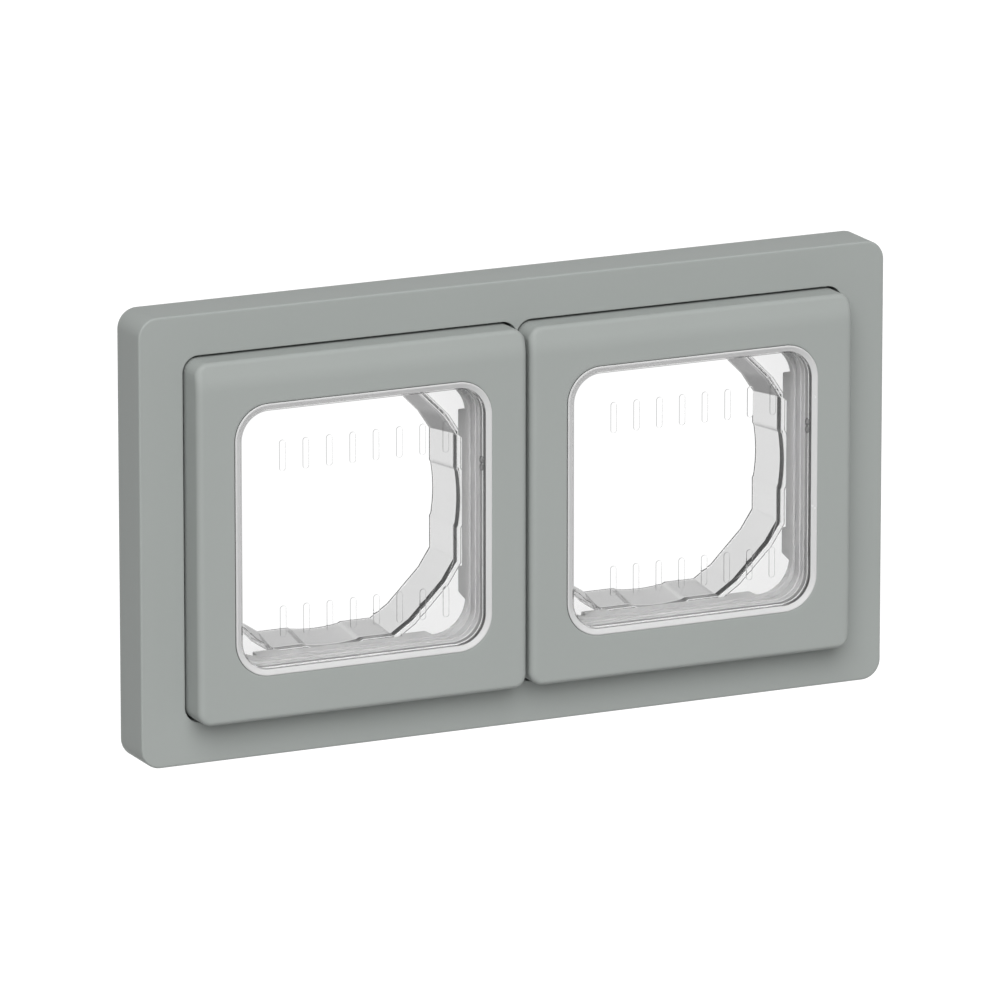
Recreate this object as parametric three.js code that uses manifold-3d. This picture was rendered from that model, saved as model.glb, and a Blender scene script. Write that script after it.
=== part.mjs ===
// Two-gang splash-proof cover frame for rocker wall switches.
//
// Millimetres, +Z up. The origin is the centre of the rear (wall) plane, and the front faces -Y.
// The wall plane is y = 0, so everything in front of the wall has a negative y, and the two sealing
// collars reach into the wall box at positive y.

import * as THREE from "three";
import { mergeVertices } from "three/addons/utils/BufferGeometryUtils.js";
import Module from "manifold-3d";

const wasm = await Module();
wasm.setup();

// ---- Gangs -----------------------------------------------------------------------------------

const GANG_PITCH = 71; // centre to centre of neighbouring gangs, the standard spacing
const COVER_GAP = 0.8; // free line between the two covers
const COVER_CLEARANCE = 0.5; // cover side to frame pocket

// ---- Outer frame -----------------------------------------------------------------------------

const FRAME_DEPTH = 10.5; // front face to wall
const FRAME_RIM_SIDE = 9.2; // pocket to outer edge, left and right
const FRAME_RIM_TOP = 8.3; // pocket to outer edge, top and bottom
const FRAME_CORNER_RADIUS = 4;
const FRAME_EDGE_FILLET = 0.4;
const LEDGE_THICKNESS = 4.75; // wall plane to the ledge that the covers stand on
const LEDGE_WIDTH = 4.6; // pocket side to mechanism opening
const LEDGE_CORNER_RADIUS = 4;

// ---- Covers ----------------------------------------------------------------------------------

const COVER_HEIGHT = 72.2;
const COVER_RISE = 5.9; // frame face to cover face
const COVER_CORNER_RADIUS = 2.8;
const COVER_WALL = 2;
const COVER_FACE_THICKNESS = 2.24;
const COVER_SIDE_FILLET = 1.3; // left and right front edges
const COVER_BOTTOM_FILLET = 1;
const COVER_ROLL_HEIGHT = 5.7; // soft roll along the top edge, measured down the face
const COVER_ROLL_BEND = 2.8; // the lower part of the roll, where the face bends away
const COVER_ROLL_DROP = 1; // the roll's fall at the top edge, measured back from the face
const COVER_BAND_SIDE = 7.7; // cover side to window
const COVER_BAND_TOP = 8.9; // cover top or bottom to window
const COVER_SEAL_THICKNESS = 0.8;

// ---- Membrane --------------------------------------------------------------------------------

const WINDOW_RADIUS = 7.2;
const RIM_FIT = 0.05; // window side to rim bead
const RIM_WIDTH = 1.25;
const RIM_PROUD = 0.3; // bead above the cover face
const RIM_FLANGE_WIDTH = 2.7; // reach of the clamped flange beyond the window
const RIM_FLANGE_THICKNESS = 0.8;
const PANE_GAP = 0.3; // bead to pane, closed by the thin web on the flexible original
const PANE_THICKNESS = 0.9;
const PANE_RECESS = 0.05; // cover face to pane face
const PANE_SKIRT_DEPTH = 2.6; // pane face to the rear edge of the skirt round it
const PANE_SKIRT_WALL = 0.7;
const RIB_COUNT = 8; // in each row
const RIB_PITCH = 4.97;
const RIB_WIDTH = 1.27;
const RIB_LENGTH = 6.2;
const RIB_HEIGHT = 0.3;
const RIB_ROW_HEIGHT = 16.55; // window centre to row centre
const NUB_HEIGHT = 9.8; // window centre to moulding nub
const NUB_WIDTH = 2.6;
const NUB_DEPTH = 1.1;
const NUB_REACH = 0.25;

// ---- Retainer --------------------------------------------------------------------------------

const RETAINER_FIT = 0.05; // clamped flange to retainer
const RETAINER_FLANGE_WIDTH = 2.9; // reach beyond the window
const RETAINER_FLANGE_THICKNESS = 1.6;
const RETAINER_WALL = 1.7;
const RETAINER_MOUTH_INSET = 1.3; // window to inner face, front half
const RETAINER_THROAT_INSET = 1.85; // window to inner face, rear half
const RETAINER_MOUTH_DEPTH = 5.4; // cover face to the step between them
const RETAINER_DEPTH = 9.1; // cover face to rear edge at the corners
const RETAINER_MIDDLE_DEPTH = 10.7; // cover face to rear edge between the tabs
const RETAINER_TAB_DEPTH = 12.4; // cover face to the tip of a tab
const RETAINER_CORNER_RADIUS = 6.8;
const TAB_START = 13.2; // window centre to the near side of a tab
const TAB_END = 18.6; // window centre to the far side of a tab

// ---- Sealing collar --------------------------------------------------------------------------

const COLLAR_FLANGE_THICKNESS = 2.65;
const COLLAR_FLANGE_MARGIN = 2.2; // free band of the frame outside the flange, at a gang's edge
const COLLAR_FLANGE_CORNER_RADIUS = 5;
const COLLAR_FLANGE_CLEARANCE = 0.2; // flange side to its recess
const COLLAR_REACH = 7.85; // wall plane to the collar's rear edge
const COLLAR_WALL = 0.85;
const COLLAR_FLAT = 26.95; // centre to flat, outside, at the flange
const COLLAR_BULGE = 0.75; // height of the arc in the middle of each side
const COLLAR_ARC_HALF = 6.1; // half chord of that arc
const COLLAR_FLAT_END = 13.1; // centre line to the end of a flat
const COLLAR_SHOULDER_DROP = 2.7; // how far the shoulder's end lies inside the flat
const COLLAR_CORNER_START = 17.2; // centre line to the corner facet that follows the shoulder
const COLLAR_TAPER = 0.957; // size at the rear edge over size at the flange

// ---- Wall gasket -----------------------------------------------------------------------------

const GASKET_INSET = 2; // frame side to groove
const GASKET_GROOVE_WIDTH = 3;
const GASKET_GROOVE_DEPTH = 2.4;
const GASKET_CLEARANCE = 0.1;

// ---- Derived sizes ---------------------------------------------------------------------------

const ARC_STEPS = 6; // straight steps in a quarter turn
const CURVE_SEGMENTS = ARC_STEPS / 2; // three.js takes two steps for each of these on an arc
const OVERCUT = 1; // how far a cutting solid runs past the face that it opens

const GANG_CENTRES = { left: -GANG_PITCH / 2, right: GANG_PITCH / 2 };
const coverHalf = { x: (GANG_PITCH - COVER_GAP) / 2, z: COVER_HEIGHT / 2 };
const pocketHalf = grow(coverHalf, COVER_CLEARANCE);
const ledgeHalf = grow(pocketHalf, -LEDGE_WIDTH);
const windowHalf = { x: coverHalf.x - COVER_BAND_SIDE, z: coverHalf.z - COVER_BAND_TOP };
const frameHalf = {
  x: GANG_PITCH / 2 + pocketHalf.x + FRAME_RIM_SIDE,
  z: pocketHalf.z + FRAME_RIM_TOP,
};
const flangeHalf = {
  x: GANG_PITCH / 2 - COLLAR_FLANGE_MARGIN,
  z: pocketHalf.z - COLLAR_FLANGE_MARGIN,
};

const frameFaceY = -FRAME_DEPTH;
const coverFaceY = frameFaceY - COVER_RISE;
const coverPlateRearY = coverFaceY + COVER_FACE_THICKNESS;
const ledgeY = -LEDGE_THICKNESS;
const coverRearY = ledgeY - COVER_SEAL_THICKNESS;
const rimFlangeRearY = coverPlateRearY + RIM_FLANGE_THICKNESS;
const retainerFrontY = rimFlangeRearY + RETAINER_FIT;
const paneFaceY = coverFaceY + PANE_RECESS;

// ---- Outlines --------------------------------------------------------------------------------

/** Half sizes moved outwards by a distance on every side. */
function grow(half, distance) {
  return { x: half.x + distance, z: half.z + distance };
}

/** Closed rectangle with round corners, centred, as a path or shape of the given class. */
function roundedRectangle(half, radius, PathClass = THREE.Shape) {
  const r = Math.max(0.2, Math.min(radius, half.x - 0.1, half.z - 0.1));
  const outline = new PathClass();
  outline.moveTo(half.x, -half.z + r);
  outline.lineTo(half.x, half.z - r);
  outline.absarc(half.x - r, half.z - r, r, 0, Math.PI / 2);
  outline.lineTo(-half.x + r, half.z);
  outline.absarc(-half.x + r, half.z - r, r, Math.PI / 2, Math.PI);
  outline.lineTo(-half.x, -half.z + r);
  outline.absarc(-half.x + r, -half.z + r, r, Math.PI, Math.PI * 1.5);
  outline.lineTo(half.x - r, -half.z);
  outline.absarc(half.x - r, -half.z + r, r, Math.PI * 1.5, Math.PI * 2);
  return outline;
}

/** Plain rectangle between two corners. */
function rectangle(x0, z0, x1, z1) {
  const outline = new THREE.Shape();
  outline.moveTo(x0, z0);
  outline.lineTo(x1, z0);
  outline.lineTo(x1, z1);
  outline.lineTo(x0, z1);
  return outline;
}

/** Upright slot: a rectangle whose top and bottom ends are half circles. */
function uprightSlot(x, z, width, length) {
  const r = width / 2;
  const straight = length / 2 - r;
  const outline = new THREE.Shape();
  outline.moveTo(x + r, z - straight);
  outline.absarc(x, z + straight, r, 0, Math.PI);
  outline.absarc(x, z - straight, r, Math.PI, Math.PI * 2);
  return outline;
}

/**
 * Scalloped outline of the collar. Each of its four sides has an outward arc between two flats, and
 * the corners are cut by facets. The inset moves the outline inwards by the collar's wall.
 */
function collarOutline(inset) {
  const flat = COLLAR_FLAT - inset;
  const scale = flat / COLLAR_FLAT;
  const shoulder = (COLLAR_FLAT - COLLAR_SHOULDER_DROP) * scale;
  const arcHalf = COLLAR_ARC_HALF;
  const radius = (arcHalf * arcHalf + COLLAR_BULGE * COLLAR_BULGE) / (2 * COLLAR_BULGE);
  const sweep = Math.asin(arcHalf / radius);
  const points = [];
  for (let side = 0; side < 4; side += 1) {
    const turn = (side * Math.PI) / 2;
    const place = (u, v) => {
      const x = u * Math.cos(turn) - v * Math.sin(turn);
      const z = u * Math.sin(turn) + v * Math.cos(turn);
      points.push(new THREE.Vector2(x, z));
    };
    place(flat, -COLLAR_FLAT_END * scale);
    for (let step = 0; step <= ARC_STEPS; step += 1) {
      const angle = sweep * ((2 * step) / ARC_STEPS - 1);
      place(flat + COLLAR_BULGE - radius + radius * Math.cos(angle), radius * Math.sin(angle));
    }
    place(flat, COLLAR_FLAT_END * scale);
    place(shoulder, COLLAR_CORNER_START * scale);
    place(COLLAR_CORNER_START * scale, shoulder);
  }
  return points;
}

// ---- Solids ----------------------------------------------------------------------------------

/** Turns a closed three.js geometry into a manifold solid. */
function solid(geometry) {
  const bare = geometry.index ? geometry.toNonIndexed() : geometry.clone();
  bare.deleteAttribute("normal");
  bare.deleteAttribute("uv");
  const merged = mergeVertices(bare, 1e-5);
  return new wasm.Manifold(
    new wasm.Mesh({
      numProp: 3,
      vertProperties: Float32Array.from(merged.attributes.position.array),
      triVerts: Uint32Array.from(merged.index.array),
    }),
  );
}

/** Turns a manifold solid back into a three.js geometry. */
function geometryOf(body) {
  const mesh = body.getMesh();
  const geometry = new THREE.BufferGeometry();
  geometry.setAttribute("position", new THREE.BufferAttribute(mesh.vertProperties, 3));
  geometry.setIndex(new THREE.BufferAttribute(mesh.triVerts, 1));
  geometry.computeVertexNormals();
  return geometry;
}

/** Extrudes an outline drawn in X and Z from the plane y = front back to the plane y = rear. */
function slab(shape, front, rear) {
  const geometry = new THREE.ExtrudeGeometry(shape, {
    depth: rear - front,
    bevelEnabled: false,
    curveSegments: CURVE_SEGMENTS,
  });
  geometry.applyMatrix4(new THREE.Matrix4().set(1, 0, 0, 0, 0, 0, -1, rear, 0, 1, 0, 0, 0, 0, 0, 1));
  return solid(geometry);
}

/** Extrudes an outline drawn in Y and Z along X, centred, to the given length. */
function beamAlongX(shape, length) {
  const geometry = new THREE.ExtrudeGeometry(shape, { depth: length, bevelEnabled: false });
  const centre = -length / 2;
  geometry.applyMatrix4(new THREE.Matrix4().set(0, 0, 1, centre, 1, 0, 0, 0, 0, 1, 0, 0, 0, 0, 0, 1));
  return solid(geometry);
}

/** Extrudes an outline drawn in X and Y along Z, centred, to the given length. */
function beamAlongZ(shape, length) {
  const geometry = new THREE.ExtrudeGeometry(shape, { depth: length, bevelEnabled: false });
  geometry.translate(0, 0, -length / 2);
  return solid(geometry);
}

/** Ring between two rounded rectangles, from one y plane to another. */
function ring(outerHalf, outerRadius, innerHalf, innerRadius, front, rear) {
  const shape = roundedRectangle(outerHalf, outerRadius);
  shape.holes.push(roundedRectangle(innerHalf, innerRadius, THREE.Path));
  return slab(shape, front, rear);
}

/** Quarter turn of an ellipse as points, from its first axis to its second. */
function quarterArc(centreU, centreV, radiusU, radiusV, startQuarter) {
  const points = [];
  for (let step = 0; step <= ARC_STEPS; step += 1) {
    const angle = ((startQuarter + step / ARC_STEPS) * Math.PI) / 2;
    points.push(
      new THREE.Vector2(centreU + radiusU * Math.cos(angle), centreV + radiusV * Math.sin(angle)),
    );
  }
  return points;
}

// ---- Pieces ----------------------------------------------------------------------------------

/** Frame: a filleted slab with two pockets, two mechanism openings, seal recesses and a groove. */
function outerFrame() {
  const fillet = FRAME_EDGE_FILLET;
  const blank = new THREE.ExtrudeGeometry(
    roundedRectangle(grow(frameHalf, -fillet), FRAME_CORNER_RADIUS - fillet),
    {
      depth: FRAME_DEPTH,
      bevelThickness: fillet,
      bevelSize: fillet,
      bevelSegments: 3,
      curveSegments: CURVE_SEGMENTS,
    },
  );
  blank.applyMatrix4(
    new THREE.Matrix4().set(1, 0, 0, 0, 0, 0, -1, fillet, 0, 1, 0, 0, 0, 0, 0, 1),
  );
  const span = frameHalf.x + OVERCUT;
  const behindWall = slab(rectangle(-span, -span, span, span), 0, 2 * fillet + OVERCUT);
  let body = solid(blank).subtract(behindWall);
  for (const centre of Object.values(GANG_CENTRES)) {
    const pocket = slab(
      roundedRectangle(pocketHalf, COVER_CORNER_RADIUS + COVER_CLEARANCE),
      frameFaceY - OVERCUT,
      ledgeY,
    );
    const opening = slab(roundedRectangle(ledgeHalf, LEDGE_CORNER_RADIUS), ledgeY - OVERCUT, OVERCUT);
    const recess = slab(
      roundedRectangle(grow(flangeHalf, COLLAR_FLANGE_CLEARANCE), COLLAR_FLANGE_CORNER_RADIUS),
      -COLLAR_FLANGE_THICKNESS,
      OVERCUT,
    );
    body = body.subtract(pocket.translate([centre, 0, 0]));
    body = body.subtract(opening.translate([centre, 0, 0]));
    body = body.subtract(recess.translate([centre, 0, 0]));
  }
  const outside = grow(frameHalf, -GASKET_INSET);
  const groove = ring(
    outside,
    FRAME_CORNER_RADIUS - GASKET_INSET,
    grow(outside, -GASKET_GROOVE_WIDTH),
    FRAME_CORNER_RADIUS - GASKET_INSET,
    -GASKET_GROOVE_DEPTH,
    OVERCUT,
  );
  return body.subtract(groove);
}

/** Soft ring that fills the groove in the back of the frame. */
function wallGasket() {
  const outside = grow(frameHalf, -GASKET_INSET - GASKET_CLEARANCE);
  return ring(
    outside,
    FRAME_CORNER_RADIUS - GASKET_INSET,
    grow(outside, 2 * GASKET_CLEARANCE - GASKET_GROOVE_WIDTH),
    FRAME_CORNER_RADIUS - GASKET_INSET,
    GASKET_CLEARANCE - GASKET_GROOVE_DEPTH,
    0,
  );
}

/**
 * Side view of a cover. The face bends away softly below its top edge and then runs on straight to
 * it, and the bottom front edge has a small fillet.
 */
function coverSideProfile() {
  const bottom = COVER_BOTTOM_FILLET;
  const top = coverHalf.z;
  const profile = new THREE.Shape();
  profile.moveTo(coverRearY, -top);
  const lower = quarterArc(coverFaceY + bottom, bottom - top, bottom, bottom, 2);
  lower.reverse().forEach((point) => profile.lineTo(point.x, point.y));
  const slope = COVER_ROLL_DROP / (COVER_ROLL_HEIGHT - COVER_ROLL_BEND / 2);
  for (let step = 0; step <= ARC_STEPS; step += 1) {
    const along = (COVER_ROLL_BEND * step) / ARC_STEPS;
    const fall = (slope * along * along) / (2 * COVER_ROLL_BEND);
    profile.lineTo(coverFaceY + fall, top - COVER_ROLL_HEIGHT + along);
  }
  profile.lineTo(coverFaceY + COVER_ROLL_DROP, top);
  profile.lineTo(coverRearY, top);
  return profile;
}

/** Plan view of a cover: a fillet on the left and right front edges. */
function coverPlanProfile() {
  const fillet = COVER_SIDE_FILLET;
  const side = coverHalf.x;
  const profile = new THREE.Shape();
  profile.moveTo(-side, coverRearY);
  quarterArc(fillet - side, coverFaceY + fillet, fillet, fillet, 2).forEach((point) =>
    profile.lineTo(point.x, point.y),
  );
  quarterArc(side - fillet, coverFaceY + fillet, fillet, fillet, 3).forEach((point) =>
    profile.lineTo(point.x, point.y),
  );
  profile.lineTo(side, coverRearY);
  return profile;
}

/** Cover of one gang: a raised shell, open at the rear, with the membrane window in its face. */
function cover() {
  const block = slab(roundedRectangle(coverHalf, COVER_CORNER_RADIUS), coverFaceY, coverRearY);
  const inside = slab(
    roundedRectangle(grow(coverHalf, -COVER_WALL), COVER_CORNER_RADIUS - COVER_WALL),
    coverPlateRearY,
    coverRearY + OVERCUT,
  );
  const opening = slab(
    roundedRectangle(windowHalf, WINDOW_RADIUS),
    coverFaceY - OVERCUT,
    coverPlateRearY + OVERCUT,
  );
  return block
    .intersect(beamAlongX(coverSideProfile(), 2 * (coverHalf.x + OVERCUT)))
    .intersect(beamAlongZ(coverPlanProfile(), 2 * (coverHalf.z + OVERCUT)))
    .subtract(inside)
    .subtract(opening);
}

/** Soft ring between a cover's rear edge and the frame's ledge. */
function coverSeal() {
  return ring(
    coverHalf,
    COVER_CORNER_RADIUS,
    grow(coverHalf, -COVER_WALL),
    COVER_CORNER_RADIUS - COVER_WALL,
    coverRearY,
    ledgeY,
  );
}

/** Clear bead round the window, with its clamped flange and the moulding nub on its right side. */
function membraneRim() {
  const beadOutside = grow(windowHalf, -RIM_FIT);
  const beadInside = grow(beadOutside, -RIM_WIDTH);
  const innerRadius = WINDOW_RADIUS - RIM_FIT - RIM_WIDTH;
  const bead = ring(
    beadOutside,
    WINDOW_RADIUS - RIM_FIT,
    beadInside,
    innerRadius,
    coverFaceY - RIM_PROUD,
    rimFlangeRearY,
  );
  const flange = ring(
    grow(windowHalf, RIM_FLANGE_WIDTH),
    WINDOW_RADIUS + RIM_FLANGE_WIDTH,
    beadInside,
    innerRadius,
    coverPlateRearY + RIM_FIT,
    rimFlangeRearY,
  );
  const nubTip = beadInside.x - NUB_REACH;
  const nub = slab(
    uprightSlot(nubTip + NUB_WIDTH / 2, NUB_HEIGHT, NUB_WIDTH, 2 * NUB_WIDTH),
    rimFlangeRearY - NUB_DEPTH,
    rimFlangeRearY,
  );
  const nubLimit = slab(
    rectangle(nubTip - OVERCUT, 0, beadInside.x + RIM_WIDTH / 2, windowHalf.z),
    rimFlangeRearY - NUB_DEPTH - OVERCUT,
    rimFlangeRearY + OVERCUT,
  );
  return bead.add(flange).add(nub.intersect(nubLimit));
}

/** Clear pane of one gang, with a short skirt round it and its two rows of finger ribs. */
function membranePane() {
  const inset = RIM_FIT + RIM_WIDTH + PANE_GAP;
  const outside = grow(windowHalf, -inset);
  const radius = WINDOW_RADIUS - inset;
  const skirt = ring(
    outside,
    radius,
    grow(outside, -PANE_SKIRT_WALL),
    radius - PANE_SKIRT_WALL,
    paneFaceY,
    paneFaceY + PANE_SKIRT_DEPTH,
  );
  const plate = slab(roundedRectangle(outside, radius), paneFaceY, paneFaceY + PANE_THICKNESS);
  let body = plate.add(skirt);
  for (const row of [-RIB_ROW_HEIGHT, RIB_ROW_HEIGHT]) {
    for (let index = 0; index < RIB_COUNT; index += 1) {
      const x = (index - (RIB_COUNT - 1) / 2) * RIB_PITCH;
      const rib = slab(
        uprightSlot(x, row, RIB_WIDTH, RIB_LENGTH),
        paneFaceY - RIB_HEIGHT,
        paneFaceY + PANE_THICKNESS / 2,
      );
      body = body.add(rib);
    }
  }
  return body;
}

/** Inner frame of one gang: it clamps the membrane, and its rear edge carries the snap tabs. */
function retainer() {
  const throat = grow(windowHalf, -RETAINER_THROAT_INSET);
  const tabY = coverFaceY + RETAINER_TAB_DEPTH;
  const clamp = slab(
    roundedRectangle(grow(windowHalf, RETAINER_FLANGE_WIDTH), WINDOW_RADIUS + RETAINER_FLANGE_WIDTH),
    retainerFrontY,
    retainerFrontY + RETAINER_FLANGE_THICKNESS,
  );
  const skirt = slab(
    roundedRectangle(grow(throat, RETAINER_WALL), RETAINER_CORNER_RADIUS + RETAINER_WALL),
    retainerFrontY,
    tabY,
  );
  const mouth = slab(
    roundedRectangle(grow(windowHalf, -RETAINER_MOUTH_INSET), WINDOW_RADIUS - RETAINER_MOUTH_INSET),
    retainerFrontY - OVERCUT,
    coverFaceY + RETAINER_MOUTH_DEPTH,
  );
  const bore = slab(
    roundedRectangle(throat, RETAINER_CORNER_RADIUS),
    retainerFrontY - OVERCUT,
    tabY + OVERCUT,
  );
  let body = clamp.add(skirt).subtract(mouth).subtract(bore);
  const reach = grow(windowHalf, RETAINER_FLANGE_WIDTH);
  const rear = tabY + OVERCUT;
  const middleY = coverFaceY + RETAINER_MIDDLE_DEPTH;
  const cornerY = coverFaceY + RETAINER_DEPTH;
  for (const sx of [-1, 1]) {
    for (const sz of [-1, 1]) {
      const corner = rectangle(
        Math.min(sx * TAB_END, sx * reach.x),
        Math.min(sz * TAB_END, sz * reach.z),
        Math.max(sx * TAB_END, sx * reach.x),
        Math.max(sz * TAB_END, sz * reach.z),
      );
      body = body.subtract(slab(corner, cornerY, rear));
    }
  }
  const across = rectangle(-reach.x, -TAB_START, reach.x, TAB_START);
  const upright = rectangle(-TAB_START, -reach.z, TAB_START, reach.z);
  return body.subtract(slab(across, middleY, rear)).subtract(slab(upright, middleY, rear));
}

/** Clear seal of one gang: a flange on the wall and a scalloped, tapering collar behind it. */
function sealingCollar() {
  const outline = new THREE.Shape(collarOutline(0));
  outline.holes.push(new THREE.Path(collarOutline(COLLAR_WALL)));
  const front = -COLLAR_FLANGE_THICKNESS;
  const length = COLLAR_REACH - front;
  const tube = new THREE.ExtrudeGeometry(outline, { depth: length, bevelEnabled: false });
  const position = tube.attributes.position;
  for (let index = 0; index < position.count; index += 1) {
    const taper = position.getZ(index) > length / 2 ? 1 : COLLAR_TAPER;
    position.setX(index, position.getX(index) * taper);
    position.setY(index, position.getY(index) * taper);
  }
  tube.applyMatrix4(
    new THREE.Matrix4().set(1, 0, 0, 0, 0, 0, -1, COLLAR_REACH, 0, 1, 0, 0, 0, 0, 0, 1),
  );
  const plate = roundedRectangle(flangeHalf, COLLAR_FLANGE_CORNER_RADIUS);
  plate.holes.push(new THREE.Path(collarOutline(COLLAR_WALL / 2)));
  return solid(tube).add(slab(plate, front, 0));
}

// ---- Materials -------------------------------------------------------------------------------

const greyPlastic = { color: 0xa0a4a1, roughness: 0.55, metalness: 0 };
const innerPlastic = { color: 0xa8a8a8, roughness: 0.5, metalness: 0 };
const clearRubber = { color: 0xf2f4f4, roughness: 0.12, metalness: 0, transparent: true, opacity: 0.3 };
const sealRubber = { color: 0x3c403e, roughness: 0.8, metalness: 0 };

// ---- Assembly --------------------------------------------------------------------------------

const group = new THREE.Group();

/** Adds one named piece to a parent group. */
function addPiece(parent, name, body, finish) {
  const mesh = new THREE.Mesh(geometryOf(body), new THREE.MeshStandardMaterial(finish));
  mesh.name = name;
  parent.add(mesh);
}

addPiece(group, "outer_frame", outerFrame(), greyPlastic);
addPiece(group, "wall_gasket", wallGasket(), sealRubber);
for (const [side, centre] of Object.entries(GANG_CENTRES)) {
  const gang = new THREE.Group();
  gang.position.x = centre;
  group.add(gang);
  addPiece(gang, `${side}_cover`, cover(), greyPlastic);
  addPiece(gang, `${side}_cover_seal`, coverSeal(), sealRubber);
  addPiece(gang, `${side}_membrane_rim`, membraneRim(), clearRubber);
  addPiece(gang, `${side}_membrane_pane`, membranePane(), clearRubber);
  addPiece(gang, `${side}_retainer`, retainer(), innerPlastic);
  addPiece(gang, `${side}_sealing_collar`, sealingCollar(), clearRubber);
}

export default group;
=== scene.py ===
"""Two-gang splash-proof cover frame with clear rocker membranes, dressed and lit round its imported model."""

import logging
import math
from dataclasses import dataclass, field
from enum import Enum
from typing import Sequence

import bmesh
import bpy
import numpy as np
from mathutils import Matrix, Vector
from mathutils.geometry import delaunay_2d_cdt


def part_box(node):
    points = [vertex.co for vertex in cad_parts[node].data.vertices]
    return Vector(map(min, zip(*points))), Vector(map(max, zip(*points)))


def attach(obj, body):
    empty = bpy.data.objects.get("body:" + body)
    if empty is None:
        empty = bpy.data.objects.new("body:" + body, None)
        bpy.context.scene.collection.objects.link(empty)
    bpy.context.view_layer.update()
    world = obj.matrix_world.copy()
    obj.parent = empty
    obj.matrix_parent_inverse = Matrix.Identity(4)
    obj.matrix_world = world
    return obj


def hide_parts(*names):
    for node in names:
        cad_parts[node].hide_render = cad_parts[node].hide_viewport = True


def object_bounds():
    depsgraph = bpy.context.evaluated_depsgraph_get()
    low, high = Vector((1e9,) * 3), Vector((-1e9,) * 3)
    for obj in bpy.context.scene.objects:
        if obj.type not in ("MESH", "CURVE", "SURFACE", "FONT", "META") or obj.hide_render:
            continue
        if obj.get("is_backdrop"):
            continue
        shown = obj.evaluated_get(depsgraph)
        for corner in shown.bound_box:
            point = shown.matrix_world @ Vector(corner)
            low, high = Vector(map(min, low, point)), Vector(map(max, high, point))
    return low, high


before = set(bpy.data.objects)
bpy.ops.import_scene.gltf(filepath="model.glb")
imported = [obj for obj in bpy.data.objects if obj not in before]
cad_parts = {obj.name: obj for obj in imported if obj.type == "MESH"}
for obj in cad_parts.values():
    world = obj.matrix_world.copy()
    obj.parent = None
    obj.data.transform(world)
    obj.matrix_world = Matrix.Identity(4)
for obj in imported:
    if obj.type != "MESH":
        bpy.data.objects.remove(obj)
LOG = logging.getLogger("cover_frame")
MM = 0.001  # every size below is in millimetres, and every mesh is in metres
TINY = 1e-6  # numbers closer than this are the same
SMALLEST_RADIUS = 0.05  # a corner keeps this radius however far its outline moves inwards
KNEE = 0.3  # where the middle point of a round edge in two steps lies, as a share of its size
Array = np.ndarray
Colour = tuple[float, float, float]
ProfilePoint = tuple[float, float]  # inset from the outline, and depth


# ---- Outlines -------------------------------------------------------------------------------------


@dataclass(frozen=True)
class Sampling:
    """How many steps a rounded rectangle takes along its sides and round each corner."""

    along_x: int = 60
    along_z: int = 60
    corner: int = 14


@dataclass(frozen=True)
class RoundedRect:
    """Rectangle with round corners in X and Z, walked anticlockwise from its right side."""

    half_x: float
    half_z: float
    radius: float
    centre: tuple[float, float] = (0.0, 0.0)
    sampling: Sampling = Sampling()

    def points(self, inset: float = 0.0) -> Array:
        """Points of the outline moved inwards by a distance.

        Each corner is a circle arc whose radius shrinks with the inset, and each side is cut evenly.

        Args:
            inset: Distance inwards in millimetres; negative moves outwards.

        Returns:
            An array of shape (points, 2) with X and Z.
        """
        hx, hz = self.half_x - inset, self.half_z - inset
        r = max(self.radius - inset, SMALLEST_RADIUS)
        s = self.sampling
        pieces = []
        corners = ((hx - r, hz - r, 0), (r - hx, hz - r, 1), (r - hx, r - hz, 2), (hx - r, r - hz, 3))
        sides = (s.along_z, s.along_x, s.along_z, s.along_x)
        for (cx, cz, number), steps in zip(corners, sides):
            start, end = number * np.pi / 2, (number + 1) * np.pi / 2
            turn = np.linspace(start, end, s.corner + 1)
            arc = np.stack([cx + r * np.cos(turn), cz + r * np.sin(turn)], 1)
            previous = corners[number - 1]
            before = np.array([previous[0] + r * np.cos(start), previous[1] + r * np.sin(start)])
            share = np.linspace(0, 1, steps + 1)[:-1, None]
            pieces.append(before * (1 - share) + arc[0] * share)
            pieces.append(arc[:-1])
        return np.concatenate(pieces) + np.array(self.centre)

    def normals(self) -> Array:
        """Outward normals at the points, from the difference of two offsets of the outline.

        Returns:
            An array of shape (points, 2) of unit vectors.
        """
        step = self.points(-0.5) - self.points(0.5)
        return step / np.linalg.norm(step, axis=1, keepdims=True)


def quarter(steps: int) -> Array:
    """Sine and one minus cosine over a quarter turn: the run and the fall of a round edge.

    Args:
        steps: Number of straight steps in the quarter turn.

    Returns:
        An array of shape (steps + 1, 2).
    """
    turn = np.linspace(0, np.pi / 2, steps + 1)
    return np.stack([np.sin(turn), 1 - np.cos(turn)], 1)


def rise(near: float, front: float, radius: float, steps: int) -> list[ProfilePoint]:
    """Profile points of a convex edge that climbs from a wall on to the face in front of it.

    Args:
        near: Inset of the wall.
        front: Depth of the face.
        radius: Edge radius.
        steps: Steps in the quarter turn.

    Returns:
        Pairs of inset and depth, from the wall to the face.
    """
    return [(near + radius * f, front + radius * (1 - s)) for s, f in quarter(steps)]


def fall(far: float, front: float, radius: float, steps: int) -> list[ProfilePoint]:
    """Profile points of a convex edge that leaves a face and turns into a wall further inwards.

    Args:
        far: Inset of the wall.
        front: Depth of the face.
        radius: Edge radius.
        steps: Steps in the quarter turn.

    Returns:
        Pairs of inset and depth, from the face to the wall.
    """
    return [(far - radius * (1 - s), front + radius * f) for s, f in quarter(steps)]


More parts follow.
